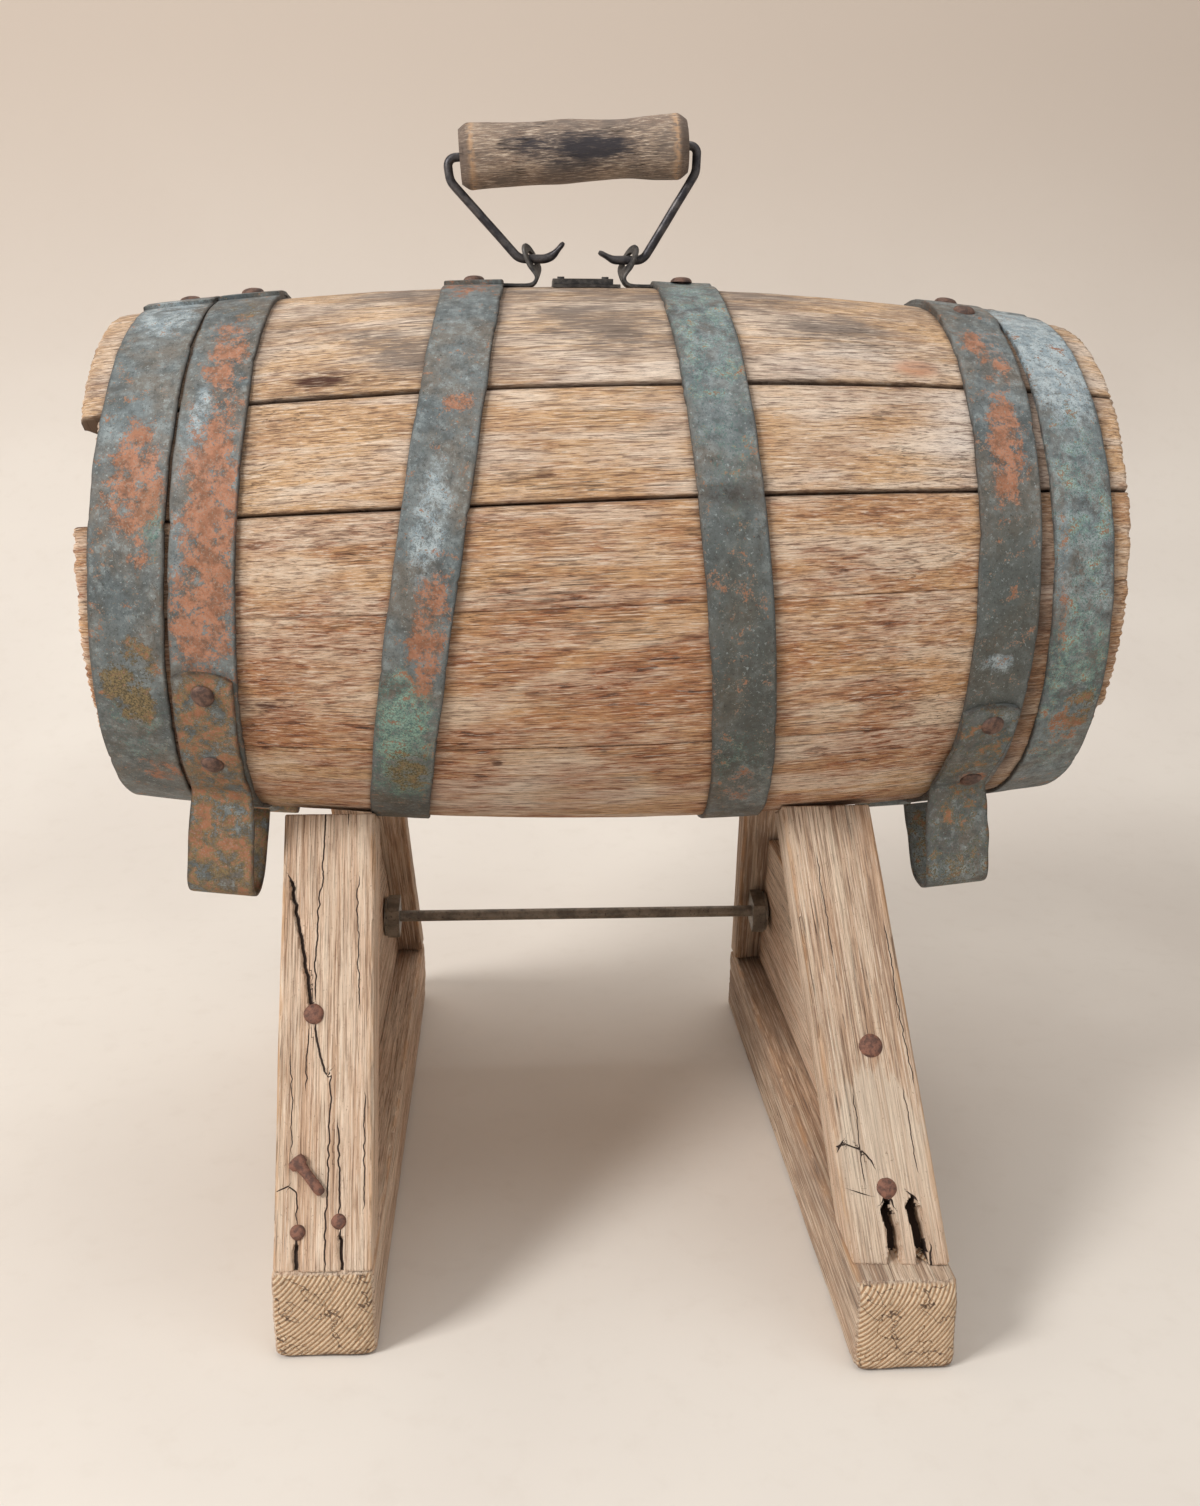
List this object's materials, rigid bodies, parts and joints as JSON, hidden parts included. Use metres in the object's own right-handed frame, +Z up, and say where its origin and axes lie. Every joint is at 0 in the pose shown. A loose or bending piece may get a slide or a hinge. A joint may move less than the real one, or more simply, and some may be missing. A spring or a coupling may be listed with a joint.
{
  "type": "wooden barrel on stand",
  "caption": "Small coopered wooden keg lying on a low two-frame timber trestle, with iron hoops, looped strap feet and a swinging wire bail with a wooden grip.",
  "frame": {"origin": "centre of the object's box, on the floor under the sills", "axes": "+X along the keg towards the tap plug, +Y away from the viewer of the picture, +Z up"},
  "size_m": [0.436, 0.38, 0.5152],
  "materials": {
    "stave_oak": "weathered, dry, unvarnished",
    "head_oak": "weathered, dry",
    "bung_wood": "plain, worn",
    "hoop_iron": "galvanised, dull, rusted in patches",
    "rivet_iron": "rusted",
    "plate_iron": "dark, dull",
    "bail_iron": "dark drawn wire",
    "grip_wood": "hand-worn, dark in the middle",
    "trestle_pine": "sawn, weathered",
    "rod_iron": "dull, lightly rusted",
    "nail_rust": "rusted"
  },
  "bodies": {
    "stand": {"left_sill": "trestle_pine", "right_sill": "trestle_pine", "left_front_leg": "trestle_pine", "left_rear_leg": "trestle_pine", "right_front_leg": "trestle_pine", "right_rear_leg": "trestle_pine", "left_web": "trestle_pine", "right_web": "trestle_pine", "tie_rod": "rod_iron", "tie_washers": "rod_iron", "tie_nuts": "rod_iron", "left_front_nails": "nail_rust", "left_rear_nails": "nail_rust", "right_front_nails": "nail_rust", "right_rear_nails": "nail_rust"},
    "keg": {"stave_01": "stave_oak", "stave_02": "stave_oak", "stave_03": "stave_oak", "stave_04": "stave_oak", "stave_05": "stave_oak", "stave_06": "stave_oak", "stave_07": "stave_oak", "stave_08": "stave_oak", "stave_09": "stave_oak", "stave_10": "stave_oak", "stave_11": "stave_oak", "left_head_board_1": "head_oak", "left_head_board_2": "head_oak", "left_head_board_3": "head_oak", "left_head_board_4": "head_oak", "right_head_board_1": "head_oak", "right_head_board_2": "head_oak", "right_head_board_3": "head_oak", "right_head_board_4": "head_oak", "bung": "bung_wood", "hoop_1": "hoop_iron", "hoop_2": "hoop_iron", "hoop_3": "hoop_iron", "hoop_4": "hoop_iron", "hoop_5": "hoop_iron", "hoop_6": "hoop_iron", "hoop_rivets": "rivet_iron", "front_left_foot": "hoop_iron", "front_right_foot": "hoop_iron", "rear_left_foot": "hoop_iron", "rear_right_foot": "hoop_iron", "foot_rivets": "rivet_iron", "bung_plate_seat": "plate_iron", "bung_plate": "plate_iron", "plate_tacks": "plate_iron", "left_eye_strap": "plate_iron", "right_eye_strap": "plate_iron"},
    "bail": {"bail_wire": "bail_iron"},
    "grip": {"grip": "grip_wood"},
    "tap_plug": {"tap_plug": "bung_wood"}
  },
  "joints": [
    {"name": "keg_lift", "type": "slide", "parent": "stand", "child": "keg", "axis": [0, 0, 1], "range_m": [0, 0.2]},
    {"name": "bail_swing", "type": "hinge", "parent": "keg", "child": "bail", "pos_m": [0, 0, 0.452], "axis": [1, 0, 0], "range_deg": [-88, 92]},
    {"name": "grip_turn", "type": "hinge", "parent": "bail", "child": "grip", "pos_m": [-0.011, 0, 0.498], "axis": [0.998, 0, 0.0628], "continuous": true},
    {"name": "plug_pull", "type": "slide", "parent": "keg", "child": "tap_plug", "axis": [1, 0, 0], "range_m": [0, 0.03]}
  ]
}
